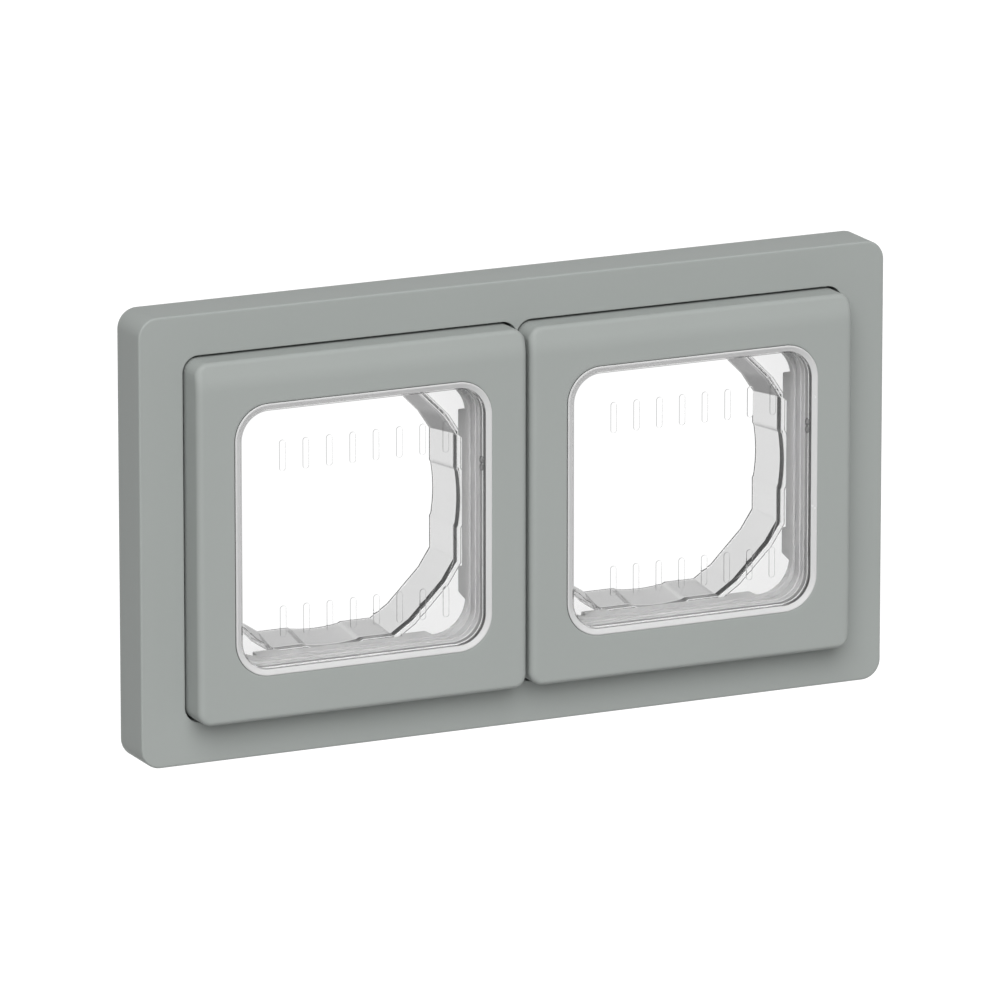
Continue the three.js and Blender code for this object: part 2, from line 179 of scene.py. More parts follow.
def round_edge(inset: float, front: float, radius: float, steps: int) -> list[ProfilePoint]:
    """Profile points of a convex edge that leaves a face and turns into the wall outside it.

    Args:
        inset: Inset of the wall.
        front: Depth of the face.
        radius: Edge radius.
        steps: Steps in the quarter turn.

    Returns:
        Pairs of inset and depth, from the face to the wall.
    """
    return [(inset + radius * (1 - s), front + radius * f) for s, f in quarter(steps)]


# ---- Meshes ---------------------------------------------------------------------------------------


@dataclass
class Shell:
    """Collects the surfaces of one closed body and makes them a mesh object."""

    name: str
    crease: float = 32.0
    weld: float = 0.002
    sliver: float = 0.0001
    verts: list[Array] = field(default_factory=list)
    faces: list[list[list[int]]] = field(default_factory=list)
    count: int = 0

    def add(self, points: Array, faces: Array) -> None:
        """Adds points in millimetres with faces that count from the first of them.

        Args:
            points: Array of shape (points, 3).
            faces: Array of vertex numbers, three or four to a face.
        """
        self.verts.append(points)
        self.faces.append((faces + self.count).tolist())
        self.count += len(points)

    def grid(self, rows: Array, closed: bool = False) -> None:
        """Adds the quads between closed loops of equal length.

        Args:
            rows: Array of shape (loops, points, 3).
            closed: Whether the last loop joins the first.
        """
        loops, around = rows.shape[:2]
        row = np.arange(loops if closed else loops - 1)[:, None]
        step = np.arange(around)[None, :]
        after, beside = (row + 1) % loops, (step + 1) % around
        quads = np.stack(
            [row * around + step, row * around + beside, after * around + beside, after * around + step], -1
        )
        self.add(rows.reshape(-1, 3), quads.reshape(-1, 4))

    def sweep(self, outline: RoundedRect, profile: Sequence[ProfilePoint], closed: bool = False) -> None:
        """Carries a profile round an outline.

        Args:
            outline: The path.
            profile: Pairs of inset from the path and depth.
            closed: Whether the profile closes on itself.
        """
        self.grid(np.stack([at_depth(outline.points(inset), y) for inset, y in profile]), closed)

    def plate(self, outer: Array, holes: Sequence[Array], y: float) -> None:
        """Adds a flat face between an outline and the holes in it, cut into triangles.

        Args:
            outer: Points of the outline in X and Z.
            holes: Points of each hole's outline.
            y: Depth of the face.
        """
        loops = [outer, *holes]
        points = np.concatenate(loops)
        edges, start = [], 0
        for loop in loops:
            index = np.arange(len(loop))
            edges.append(np.stack([index, np.roll(index, -1)], 1) + start)
            start += len(loop)
        made = delaunay_2d_cdt(
            [Vector(p) for p in points.tolist()], np.concatenate(edges).tolist(), [], 1, TINY
        )
        flat = np.array([tuple(v) for v in made[0]])
        triangles = np.array(made[2])
        middle = flat[triangles].mean(1)
        inside = winding(middle, outer)
        for hole in holes:
            inside &= ~winding(middle, hole)
        self.add(at_depth(flat, y), triangles[inside])

    def build(self) -> bpy.types.Object:
        """Joins the surfaces, turns them outwards and makes the object.

        Returns:
            The new object, linked to the scene.
        """
        mesh = bpy.data.meshes.new(self.name)
        faces = [face for part in self.faces for face in part]
        mesh.from_pydata((np.concatenate(self.verts) * MM).tolist(), [], faces)
        solid = bmesh.new()
        solid.from_mesh(mesh)
        bmesh.ops.remove_doubles(solid, verts=solid.verts, dist=self.weld * MM)
        bmesh.ops.dissolve_degenerate(solid, edges=solid.edges, dist=self.sliver * MM)
        bmesh.ops.recalc_face_normals(solid, faces=solid.faces)
        loose = sum(1 for edge in solid.edges if len(edge.link_faces) != 2)
        if solid.calc_volume(signed=True) < 0:
            bmesh.ops.reverse_faces(solid, faces=solid.faces)
        solid.to_mesh(mesh)
        solid.free()
        mesh.shade_smooth()
        mesh.set_sharp_from_angle(angle=math.radians(self.crease))
        piece = bpy.data.objects.new(self.name, mesh)
        bpy.context.collection.objects.link(piece)
        LOG.info("%s: %d faces, %d open edges", self.name, len(mesh.polygons), loose)
        return piece


def at_depth(flat: Array, y: float | Array) -> Array:
    """Puts outline points at a depth.

    Args:
        flat: Array of shape (points, 2) with X and Z.
        y: One depth, or one for each point.

    Returns:
        Array of shape (points, 3).
    """
    return np.stack([flat[:, 0], np.broadcast_to(y, len(flat)), flat[:, 1]], 1)


def winding(points: Array, loop: Array) -> Array:
    """Tells which points lie inside a closed outline, by counting the edges to the right of each.

    Args:
        points: Array of shape (points, 2).
        loop: Array of shape (corners, 2).

    Returns:
        Array of true and false.
    """
    after = np.roll(loop, -1, 0)
    x, z = points[:, None, 0], points[:, None, 1]
    spans = (loop[None, :, 1] > z) != (after[None, :, 1] > z)
    rise = np.where(after[:, 1] == loop[:, 1], 1.0, after[:, 1] - loop[:, 1])
    cross = (after[:, 0] - loop[:, 0]) * (z - loop[:, 1]) / rise + loop[:, 0]
    return (spans & (x < cross)).sum(1) % 2 == 1


def smooth(value: Array, low: float, high: float) -> Array:
    """Smooth step from 0 at the low value to 1 at the high one.

    Args:
        value: Any values.
        low: Where the step starts.
        high: Where it ends.

    Returns:
        Values from 0 to 1.
    """
    share = np.clip((value - low) / (high - low), 0, 1)
    return share * share * (3 - 2 * share)


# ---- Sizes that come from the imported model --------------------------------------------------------


class Side(Enum):
    """The two gangs."""

    LEFT = "left"
    RIGHT = "right"

    def node(self, piece: str) -> str:
        """Name of this gang's node of a kind."""
        return f"{self.value}_{piece}"


@dataclass(frozen=True)
class NodeBox:
    """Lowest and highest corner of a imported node, in millimetres."""

    low: tuple[float, ...]
    high: tuple[float, ...]

    @classmethod
    def of(cls, node: str) -> "NodeBox":
        """Measures a node at rest.

        Args:
            node: Name of the node.

        Returns:
            Its box.
        """
        low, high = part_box(node)
        return cls(tuple(v / MM for v in low), tuple(v / MM for v in high))

    @property
    def centre(self) -> tuple[float, float]:
        """Middle of the box in X and Z."""
        return (self.low[0] + self.high[0]) / 2, (self.low[2] + self.high[2]) / 2

    def outline(self, radius: float, sampling: Sampling = Sampling(), inset: float = 0.0) -> RoundedRect:
        """The box seen from the front, as an outline with round corners.

        Args:
            radius: Corner radius.
            sampling: Steps along the outline.
            inset: Distance that the outline lies inside the box.

        Returns:
            The outline.
        """
        half_x = (self.high[0] - self.low[0]) / 2 - inset
        half_z = (self.high[2] - self.low[2]) / 2 - inset
        return RoundedRect(half_x, half_z, radius, self.centre, sampling)


# ---- Shader maths ---------------------------------------------------------------------------------


class NodeSheet:
    """The node tree of one material or of the world, with one method that adds any node."""

    def __init__(self, tree: bpy.types.NodeTree) -> None:
        """Empties the tree.

        Args:
            tree: The node tree to fill.
        """
        self.tree = tree
        tree.nodes.clear()

    def add(self, kind: str, settings: dict | None = None, **inputs: object) -> "Signal":
        """Adds a node.

        Args:
            kind: The node's type name.
            settings: Attributes that are set before its sockets; a ramp's stops come under "stops".
            inputs: Values or signals by socket name, with underscores for spaces, or by number as i0, i1.

        Returns:
            The node's first output as a signal.
        """
        node = self.tree.nodes.new(kind)
        for name, value in (settings or {}).items():
            if name == "stops":
                ramp = node.color_ramp.elements
                while len(ramp) < len(value):
                    ramp.new(0.5)
                for element, (position, colour) in zip(ramp, value):
                    element.position = position
                    element.color = (*colour, 1.0) if isinstance(colour, tuple) else (colour,) * 3 + (1.0,)
            else:
                setattr(node, name, value)
        for name, value in inputs.items():
            key = int(name[1:]) if name[0] == "i" and name[1:].isdigit() else name.replace("_", " ")
            socket = node.inputs[key]
            if isinstance(value, Signal):
                self.tree.links.new(value.socket, socket)
            else:
                socket.default_value = value
        return Signal(self, node.outputs[0] if node.outputs else None, node)


@dataclass
class Signal:
    """An output socket that can be used in arithmetic: each operator adds a Math node."""

    sheet: NodeSheet
    socket: bpy.types.NodeSocket | None
    node: bpy.types.Node

    def math(self, operation: str, *others: "Signal | float") -> "Signal":
        """Adds a Math node with this signal as its first value.

        Args:
            operation: The Math node's operation.
            others: Its other values.

        Returns:
            The result.
        """
        values = {f"i{number}": value for number, value in enumerate((self, *others))}
        return self.sheet.add("ShaderNodeMath", {"operation": operation}, **values)

    def output(self, name: str) -> "Signal":
        """Another output of the same node."""
        return Signal(self.sheet, self.node.outputs[name], self.node)

    def __add__(self, other: "Signal | float") -> "Signal":
        """Sum."""
        return self.math("ADD", other)

    __radd__ = __add__

    def __mul__(self, other: "Signal | float") -> "Signal":
        """Product."""
        return self.math("MULTIPLY", other)

    __rmul__ = __mul__

    def __sub__(self, other: "Signal | float") -> "Signal":
        """Difference."""
        return self.math("SUBTRACT", other)

    def __rsub__(self, other: float) -> "Signal":
        """A number minus this signal."""
        return self * -1.0 + other

    def ramp(self, low: float, high: float) -> "Signal":
        """Smooth step from 0 at the low value to 1 at the high one."""
        settings = {"interpolation_type": "SMOOTHSTEP"}
        return self.sheet.add("ShaderNodeMapRange", settings, Value=self, From_Min=low, From_Max=high)

    def tint(self, dark: "Signal | Colour", light: "Signal | Colour") -> "Signal":
        """Colour between two colours, numbers or signals, by this signal from 0 to 1."""
        ends = [end if isinstance(end, Signal) else (*end, 1.0) for end in (dark, light)]
        mixed = self.sheet.add("ShaderNodeMix", {"data_type": "RGBA"}, Factor=self, i6=ends[0], i7=ends[1])
        return Signal(self.sheet, mixed.node.outputs[2], mixed.node)


def new_material(name: str) -> tuple[bpy.types.Material, NodeSheet, Signal]:
    """Starts a material.

    Args:
        name: The material's name.

    Returns:
        The material, its emptied node sheet and the Object coordinates.
    """
    material = bpy.data.materials.new(name)
    material.use_nodes = True
    sheet = NodeSheet(material.node_tree)
    place = sheet.add("ShaderNodeTexCoord").output("Object")
    return material, sheet, place


def noise(sheet: NodeSheet, place: Signal, size: float, detail: float = 2.0) -> Signal:
    """Noise from 0 to 1.

    Args:
        sheet: The node sheet.
        place: The coordinates.
        size: Width of the pattern's features in millimetres.
        detail: How many finer octaves it has.

    Returns:
        The noise.
    """
    return sheet.add("ShaderNodeTexNoise", Vector=place, Scale=1.0 / (size * MM), Detail=detail)


# ---- Finishes -------------------------------------------------------------------------------------


@dataclass(frozen=True)
class MouldedPlastic:
    """Opaque moulded plastic with a fine eroded grain and a faint flow of tone."""

    name: str
    slot: str
    colour: Colour
    roughness: float = 0.55
    tone: float = 0.03
    grain_size: float = 0.22
    grain_depth: float = 0.006
    flow_size: float = 26.0
    speckle_size: float = 0.9
    speckle_share: float = 0.3
    flow_roughness: float = 0.05
    grain_roughness: float = 0.08
    ior: float = 1.46
    specular: float = 0.22

    def make(self) -> bpy.types.Material:
        """Builds the material.

        Tone varies slowly over some centimetres, roughness a little with the same flow and with the
        grain, and the grain is a bump a few thousandths of a millimetre deep.
        """
        material, sheet, place = new_material(self.name)
        flow = noise(sheet, place, self.flow_size, 3.0)
        speckle = noise(sheet, place, self.speckle_size, 3.0)
        grain = noise(sheet, place, self.grain_size, 2.0)
        dark = tuple(c * (1 - self.tone) for c in self.colour)
        light = tuple(c * (1 + self.tone) for c in self.colour)
        tone = flow * (1 - self.speckle_share) + speckle * self.speckle_share
        uneven = (flow - 0.5) * self.flow_roughness
        rough_grain = (grain - 0.5) * self.grain_roughness
        bump = sheet.add("ShaderNodeBump", Height=grain, Distance=self.grain_depth * MM, Strength=1.0)
        shader = sheet.add(
            "ShaderNodeBsdfPrincipled",
            Base_Color=tone.tint(dark, light),
            Roughness=self.roughness + uneven + rough_grain,
            Normal=bump,
            IOR=self.ior,
            Specular_IOR_Level=self.specular,
        )
        sheet.add("ShaderNodeOutputMaterial", Surface=shader)
        return material


@dataclass(frozen=True)
class ClearPlastic:
    """Clear flexible plastic: bends light, mirrors a little, has faint flow lines in its surface, and painted
    shade on its walls.
    """

    name: str
    slot: str
    colour: Colour
    # Colour of the painted shade on walls that stand on edge to the front.
    side_shade_colour: Colour
    shade: float
    transmission: float = 1.0
    absorption: float = 0.0
    roughness: float = 0.03
    ior: float = 1.47
    wave_size: float = 14.0
    wave_depth: float = 0.002
    side_shade_start: float = 0.35
    side_shade_end: float = 0.85
    # How much deeper the painted shade goes, by the way a wall faces.
    corner_shade_depth: float = 0.0
    slant_start: float = 0.15
    slant_end: float = 0.5
    level_share: float = 0.42
    facing_base: float = 0.97
    facing_flow: float = 0.05
    fine_size: float = 1.1
    fine_roughness: float = 0.02
    flow_roughness: float = 0.015

    def make(self) -> bpy.types.Material:
        """Builds the material.

        Lamps shine through it by a Transparent shader tinted with the shade, and what is seen is a
        Principled shader that transmits, with a roughness that varies with the flow of the moulding.
        Walls that stand on edge to the front get a painted shade, darker than faces, in place of
        the dark that bending of light gives clear walls. A second painted shade adds to that by the
        way a wall faces: most in the two corners where X and Z of its normal have the same sign,
        less in level walls, and not at all in upright ones. A tone in the depth of the plastic
        darkens a long way through it.
        """
        material, sheet, place = new_material(self.name)
        flow = noise(sheet, place, self.wave_size, 2.0)
        fine = noise(sheet, place, self.fine_size, 2.0)
        bump = sheet.add("ShaderNodeBump", Height=flow, Distance=self.wave_depth * MM, Strength=1.0)
        normal = sheet.add("ShaderNodeSeparateXYZ", Vector=sheet.add("ShaderNodeTexCoord").output("Normal"))
        # Painted shade: walls on edge to the front take the side shade colour, in place of the dark that
        # bending of light gives them.
        frontal = normal.output("Y").math("ABSOLUTE")
        facing = frontal.ramp(self.side_shade_start, self.side_shade_end) * (self.facing_base + flow * self.facing_flow)
        # Painted shade by the way a wall faces: deepest where X and Z of the normal share a sign, less on
        # level walls.
        across, upright = normal.output("X"), normal.output("Z")
        slant = across * upright
        corner = slant.ramp(self.slant_start, self.slant_end)
        level = (slant + upright * upright) * self.level_share
        shaded = (corner + level).ramp(0.0, 1.0)
        corner_shade_colour = tuple(c * (1 - self.corner_shade_depth) for c in self.side_shade_colour)
        glass = sheet.add(
            "ShaderNodeBsdfPrincipled",
            Base_Color=facing.tint(shaded.tint(self.side_shade_colour, corner_shade_colour), self.colour),
            Roughness=self.roughness + fine * self.fine_roughness + flow * self.flow_roughness,
            Transmission_Weight=self.transmission,
            IOR=self.ior,
            Normal=bump,
        )
        light = sheet.add("ShaderNodeBsdfTransparent", Color=(self.shade, self.shade, self.shade, 1.0))
        ray = sheet.add("ShaderNodeLightPath").output("Is Shadow Ray")
        mixed = sheet.add("ShaderNodeMixShader", i0=ray, i1=glass, i2=light)
        output = sheet.add("ShaderNodeOutputMaterial", Surface=mixed)
        if self.absorption:
            depth = sheet.add(
                "ShaderNodeVolumeAbsorption", Color=(0.5, 0.5, 0.5, 1.0), Density=self.absorption / MM
            )
            sheet.tree.links.new(depth.socket, output.node.inputs["Volume"])
        return material


@dataclass(frozen=True)
class SoftRubber:
    """Matt seal rubber with a fine dusty mottle."""

    name: str
    slot: str
    colour: Colour
    mottle_size: float = 1.6
    pore_size: float = 0.18
    pore_depth: float = 0.01
    darkest: float = 0.8
    lightest: float = 1.25
    roughness: float = 0.68
    mottle_roughness: float = 0.16

    def make(self) -> bpy.types.Material:
        """Builds the material: tone and roughness follow a fine mottle, over a fine bump."""
        material, sheet, place = new_material(self.name)
        mottle = noise(sheet, place, self.mottle_size, 4.0)
        pores = noise(sheet, place, self.pore_size, 2.0)
        dark = tuple(c * self.darkest for c in self.colour)
        light = tuple(c * self.lightest for c in self.colour)
        bump = sheet.add("ShaderNodeBump", Height=pores, Distance=self.pore_depth * MM, Strength=1.0)
        shader = sheet.add(
            "ShaderNodeBsdfPrincipled",
            Base_Color=mottle.tint(dark, light),
            Roughness=self.roughness + mottle * self.mottle_roughness,
            Normal=bump,
        )
        sheet.add("ShaderNodeOutputMaterial", Surface=shader)
        return material


Finish = MouldedPlastic | ClearPlastic | SoftRubber

COVER_GREY = MouldedPlastic("cover_grey_plastic", "cover_grey", (0.345, 0.366, 0.354))
INNER_GREY = MouldedPlastic("inner_grey_plastic", "inner_grey", (0.31, 0.31, 0.31), roughness=0.4)
# In each clear plastic below, the second colour is the painted shade of walls on edge to the front.
CLEAR_MEMBRANE = ClearPlastic(
    "clear_pane_plastic", "clear_membrane", (0.95,) * 3, (0.22,) * 3, 0.95, ior=1.02, wave_depth=0.001
)
# Bead: the pale, nearly opaque colour is a painted reflection of the white surround in the clear bead; its
# inner walls carry a dark painted shade.
CLEAR_BEAD = ClearPlastic(
    "clear_bead_plastic", "clear_membrane", (0.68,) * 3, (0.17,) * 3, 0.9, transmission=0.12,
    roughness=0.25, ior=1.25, side_shade_start=0.1, side_shade_end=0.5,
)
# Nub: the near-black colour is a painted shade on the clear dome.
CLEAR_NUB = ClearPlastic(
    "clear_nub_plastic", "clear_membrane", (0.14,) * 3, (0.08,) * 3, 0.9, transmission=0.2,
    roughness=0.2, ior=1.25,
)
# Collar: its corner facets and level walls get the deepest painted shade.
CLEAR_COLLAR = ClearPlastic(
    "clear_collar_plastic", "clear_collar", (0.98,) * 3, (0.7,) * 3, 0.9, absorption=0.08, roughness=0.04,
    corner_shade_depth=0.77,
)
CLEAR_LIP = ClearPlastic(
    "clear_lip_plastic", "clear_collar", (0.95,) * 3, (0.6,) * 3, 0.9, roughness=0.06
)
SEAL_RUBBER = SoftRubber("seal_rubber", "seal_rubber", (0.05, 0.054, 0.052))


class Wardrobe:
    """Makes each finish once and dresses pieces with it."""

    def __init__(self) -> None:
        """Starts with no material made."""
        self.made: dict[str, bpy.types.Material] = {}

    def dress(self, piece: bpy.types.Object, finish: Finish, body: str, *nodes: str) -> bpy.types.Object:
        """Gives a piece its finish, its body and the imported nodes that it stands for.

        Args:
            piece: The new piece.
            finish: Its finish.
            body: The body that it rides on.
            nodes: The nodes that it replaces.

        Returns:
            The piece.
        """
        if finish.name not in self.made:
            self.made[finish.name] = finish.make()
        piece.data.materials.clear()
        piece.data.materials.append(self.made[finish.name])
        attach(piece, body)
        if nodes:
            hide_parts(*nodes)
        return piece


# ---- Sub-assemblies -------------------------------------------------------------------------------

FIXED_BODY = "cover_frame"
COARSE = Sampling(40, 40, 10)


@dataclass
class OuterFrame:
    """The two-gang frame: a filleted slab with merged pockets, two openings and a groove in its back."""

    corner_radius: float = 4.0
    edge_fillet: float = 0.4
    rear_fillet: float = 0.3
    pocket_clearance: float = 0.5
    pocket_fillet: float = 0.15
    cover_corner_radius: float = 2.8
    ledge_width: float = 4.6
    ledge_corner_radius: float = 4.0
    flange_clearance: float = 0.2
    flange_corner_radius: float = 5.0
    gasket_inset: float = 2.0
    gasket_clearance: float = 0.1
    groove_width: float = 3.0
    margin: float = 0.4
    back_margin: float = 0.2
    sampling: Sampling = Sampling(120, 60, 16)

    def pocket_loop(self, offset: float) -> Array:
        """Outline of both pockets together, moved outwards.

        Each gang's pocket is a rounded square, and the two overlap a little in the middle. The loop
        follows each of them from where its corner arcs cross the middle line, which leaves a small
        point of the frame between the covers, above and below.

        Args:
            offset: Distance outwards from the pocket side.

        Returns:
            Points in X and Z.
        """
        cover = NodeBox.of(Side.RIGHT.node("cover"))
        half_x = (cover.high[0] - cover.low[0]) / 2 + self.pocket_clearance
        half_z = (cover.high[2] - cover.low[2]) / 2 + self.pocket_clearance
        centre, rise = cover.centre
        kept = self.cover_corner_radius + self.pocket_clearance
        r = kept + offset
        arc_x, arc_z = half_x - kept, half_z - kept
        crossing = np.arccos((centre - arc_x) / r)
        steps = self.sampling.corner
        inner = np.linspace(np.pi + crossing, 1.5 * np.pi, steps)
        outer = np.linspace(1.5 * np.pi, 2 * np.pi, steps)
        lower = np.concatenate([
            np.stack([centre - arc_x + r * np.cos(inner), -arc_z + r * np.sin(inner)], 1),
            np.stack([centre + arc_x + r * np.cos(outer), -arc_z + r * np.sin(outer)], 1),
        ])
        right = np.concatenate([lower, lower[::-1] * (1, -1)])
        return np.concatenate([right, right[::-1][1:-1] * (-1, 1)]) + (0.0, rise)

    def build(self, wardrobe: Wardrobe) -> bpy.types.Object:
        """Builds the frame's surfaces from the front face round to the groove in the back.

        Args:
            wardrobe: Dresses the piece.

        Returns:
            The frame.
        """
        box = NodeBox.of("outer_frame")
        gasket = NodeBox.of("wall_gasket")
        front, wall = box.low[1], box.high[1]
        ledge = NodeBox.of(Side.LEFT.node("cover_seal")).high[1]
        recess = NodeBox.of(Side.LEFT.node("sealing_collar")).low[1]
        shell = Shell("frame_body")
        outside = box.outline(self.corner_radius, self.sampling)
        groove_near = self.gasket_inset
        groove_far = self.gasket_inset + self.groove_width
        groove_floor = gasket.low[1] - self.gasket_clearance
        profile = [(self.edge_fillet + self.margin, front)]
        profile += round_edge(0.0, front, self.edge_fillet, 8)
        profile += [(0.0, wall - self.rear_fillet)]
        profile += [(self.rear_fillet * f, wall - self.rear_fillet * (1 - s)) for s, f in quarter(4)[1:]]
        profile += [(self.rear_fillet + self.back_margin, wall)]
        profile += [(groove_near, wall), (groove_near, groove_floor)]
        profile += [(groove_far, groove_floor), (groove_far, wall)]
        shell.sweep(outside, profile)
        rim = self.pocket_fillet
        edge = [self.pocket_loop(rim + self.margin)]
        depth = [front]
        for s, f in quarter(5):
            edge.append(self.pocket_loop(rim * (1 - s)))
            depth.append(front + rim * f)
        edge.append(self.pocket_loop(0.0))
        depth.append(ledge)
        shell.grid(np.stack([at_depth(loop, y) for loop, y in zip(edge, depth)]))
        shell.plate(outside.points(self.edge_fillet + self.margin), [edge[0]], front)
        holes, mouths = [], []
        for side in Side:
            cover = NodeBox.of(side.node("cover"))
            opening = cover.outline(
                self.ledge_corner_radius, COARSE, self.ledge_width - self.pocket_clearance
            )
            seat = NodeBox.of(side.node("sealing_collar")).outline(
                self.flange_corner_radius, COARSE, -self.flange_clearance
            )
            shell.sweep(opening, [(0.0, ledge), (0.0, recess)])
            shell.sweep(seat, [(0.0, recess), (0.0, wall)])
            shell.plate(seat.points(), [opening.points()], recess)
            holes.append(opening.points())
            mouths.append(seat.points())
        shell.plate(edge[-1], holes, ledge)
        shell.plate(outside.points(groove_far), mouths, wall)
        piece = shell.build()
        return wardrobe.dress(piece, COVER_GREY, FIXED_BODY, "outer_frame")


@dataclass
class Cover:
    """Raised cover of one gang: a shell with a softly rolled top edge and the membrane's window."""

    side: Side
    corner_radius: float = 2.8
    wall: float = 2.0
    face_thickness: float = 2.24
    window_radius: float = 7.2
    window_inset: float = 2.7
    window_fillet: float = 0.12
    side_fillet: float = 1.3
    bottom_fillet: float = 1.0
    top_fillet: float = 0.8
    roll_height: float = 5.7
    roll_bend: float = 2.8
    roll_drop: float = 1.0
    rings: int = 44
    ring_bias: float = 0.85
    turn_start: float = 0.15
    turn_end: float = 0.95
    wall_shares: tuple[float, ...] = (0.04, 0.5, 0.97)
    rear_edge: float = 0.12
    inner_chamfer: float = 0.3
    window_land: float = 1.0
    sampling: Sampling = Sampling(64, 96, 18)

    def roll(self, z: Array, top: float) -> Array:
        """Fall of the face below its plane: a parabola over the bend, then a straight slope to the top.

        Args:
            z: Heights.
            top: Height of the cover's top edge.

        Returns:
            The fall at each height.
        """
        slope = self.roll_drop / (self.roll_height - self.roll_bend / 2)
        along = np.clip(z - top + self.roll_height, 0, None)
        bend = slope * np.minimum(along, self.roll_bend) ** 2 / (2 * self.roll_bend)
        return bend + slope * np.clip(along - self.roll_bend, 0, None)

    def edge_radius(self, normals: Array) -> Array:
        """Fillet radius round the face: one value for the sides, one for the top and one for the bottom.

        Args:
            normals: Outward normals of the cover's outline.

        Returns:
            The radius at each point.
        """
        upward = smooth(normals[:, 1], self.turn_start, self.turn_end)
        downward = smooth(-normals[:, 1], self.turn_start, self.turn_end)
        grow_top = upward * (self.top_fillet - self.side_fillet)
        grow_bottom = downward * (self.bottom_fillet - self.side_fillet)
        return self.side_fillet + grow_top + grow_bottom

    def build(self, wardrobe: Wardrobe) -> bpy.types.Object:
        """Builds the cover as one grid that runs from the window over the face and walls and back inside.

        Args:
            wardrobe: Dresses the piece.

        Returns:
            The cover.
        """
        box = NodeBox.of(self.side.node("cover"))
        face, rear, top = box.low[1], box.high[1], box.high[2]
        plate_rear = face + self.face_thickness
        outline = box.outline(self.corner_radius, self.sampling)
        rim_box = NodeBox.of(self.side.node("membrane_rim"))
        window = rim_box.outline(self.window_radius, self.sampling, self.window_inset)
        rim, normals = outline.points(), outline.normals()
        radius = self.edge_radius(normals)
        start = rim - normals * radius[:, None]
        lip = window.points(-self.window_fillet)
        rows = [at_depth(window.points(), plate_rear), at_depth(window.points(), face + self.window_fillet)]
        knee = self.window_fillet * KNEE
        rows.append(at_depth(window.points(-knee), face + knee))
        for share in np.linspace(0, 1, self.rings) ** self.ring_bias:
            flat = lip * (1 - share) + start * share
            rows.append(at_depth(flat, face + self.roll(flat[:, 1], top)))
        for s, f in quarter(8)[1:]:
            flat = start + normals * (radius * s)[:, None]
            rows.append(at_depth(flat, face + self.roll(flat[:, 1], top) + radius * f))
        brim = rows[-1][:, 1]
        for share in self.wall_shares:
            rows.append(at_depth(rim, brim * (1 - share) + rear * share))
        inner = self.wall
        chamfer = self.inner_chamfer
        rows.append(at_depth(outline.points(self.rear_edge), rear))
        rows.append(at_depth(outline.points(inner), rear))
        rows.append(at_depth(outline.points(inner), plate_rear + chamfer))
        rows.append(at_depth(outline.points(inner + chamfer), plate_rear))
        rows.append(at_depth(window.points(-self.window_land), plate_rear))
        shell = Shell(f"{self.side.value}_cover_body")
        shell.grid(np.stack(rows), closed=True)
        piece = shell.build()
        return wardrobe.dress(piece, COVER_GREY, FIXED_BODY, self.side.node("cover"))


@dataclass
class SoftRing:
    """Rubber ring with a rounded section that fills the space between two pieces."""

    node: str
    width: float
    corner_radius: float
    edge: float = 0.25
    sampling: Sampling = Sampling(60, 60, 10)

    def build(self, wardrobe: Wardrobe) -> bpy.types.Object:
        """Carries the rounded section round the node's outline.

        Args:
            wardrobe: Dresses the piece.

        Returns:
            The ring.
        """
        box = NodeBox.of(self.node)
        front, rear = box.low[1], box.high[1]
        profile = rise(0.0, front, self.edge, 4) + fall(self.width, front, self.edge, 4)
        profile += [(self.width, rear - self.edge), (self.width - self.edge, rear)]
        profile += [(self.edge, rear), (0.0, rear - self.edge)]
        shell = Shell(f"{self.node}_body")
        shell.sweep(box.outline(self.corner_radius, self.sampling), profile, closed=True)
        return wardrobe.dress(shell.build(), SEAL_RUBBER, FIXED_BODY, self.node)


@dataclass
class MembraneRim:
    """Clear bead that rims one window, on a flange that the retainer clamps."""

    side: Side
    flange_width: float = 2.75
    flange_thickness: float = 0.75
    flange_corner_radius: float = 9.9
    bead_width: float = 1.25
    ridge_radius: float = 0.25
    inner_radius: float = 0.18
    slope_fall: float = 0.36
    slope_shares: tuple[float, ...] = (0.25, 0.6, 1.0)
    neck_depth: float = 1.2
    root: float = 0.1
    flange_edge: float = 0.08
    step: float = 0.05
    step_depth: float = 1.9
    sampling: Sampling = Sampling(70, 70, 24)

    def build(self, wardrobe: Wardrobe) -> bpy.types.Object:
        """Carries the bead and its flange round the window.

        From the outside the bead climbs to a rounded ridge. Its face then slopes back to the inner edge,
        and the wall behind that has one small step.

        Args:
            wardrobe: Dresses the piece.

        Returns:
            The rim.
        """
        box = NodeBox.of(self.side.node("membrane_rim"))
        front, rear = box.low[1], box.high[1]
        near, far = self.flange_width, self.flange_width + self.bead_width
        shoulder = rear - self.flange_thickness
        neck, root, edge = front + self.neck_depth, self.root, self.flange_edge
        profile = [(edge, shoulder), (near - root, shoulder), (near, shoulder - root), (near, neck)]
        profile += rise(near, front, self.ridge_radius, 6)
        slope = self.bead_width - self.ridge_radius - self.inner_radius
        for share in self.slope_shares:
            profile.append((near + self.ridge_radius + share * slope, front + self.slope_fall * share))
        profile += fall(far, front + self.slope_fall, self.inner_radius, 4)[1:]
        ledge, stepped = front + self.step_depth, far + self.step
        profile += [(far, neck), (far, ledge - self.step), (stepped, ledge)]
        profile += [(stepped, ledge + self.step), (stepped, rear - root), (far, rear)]
        profile += [(edge, rear), (0.0, rear - edge), (0.0, shoulder + edge)]
        shell = Shell(f"{self.side.value}_rim_body")
        shell.sweep(box.outline(self.flange_corner_radius, self.sampling), profile, closed=True)
        return wardrobe.dress(shell.build(), CLEAR_BEAD, FIXED_BODY, self.side.node("membrane_rim"))


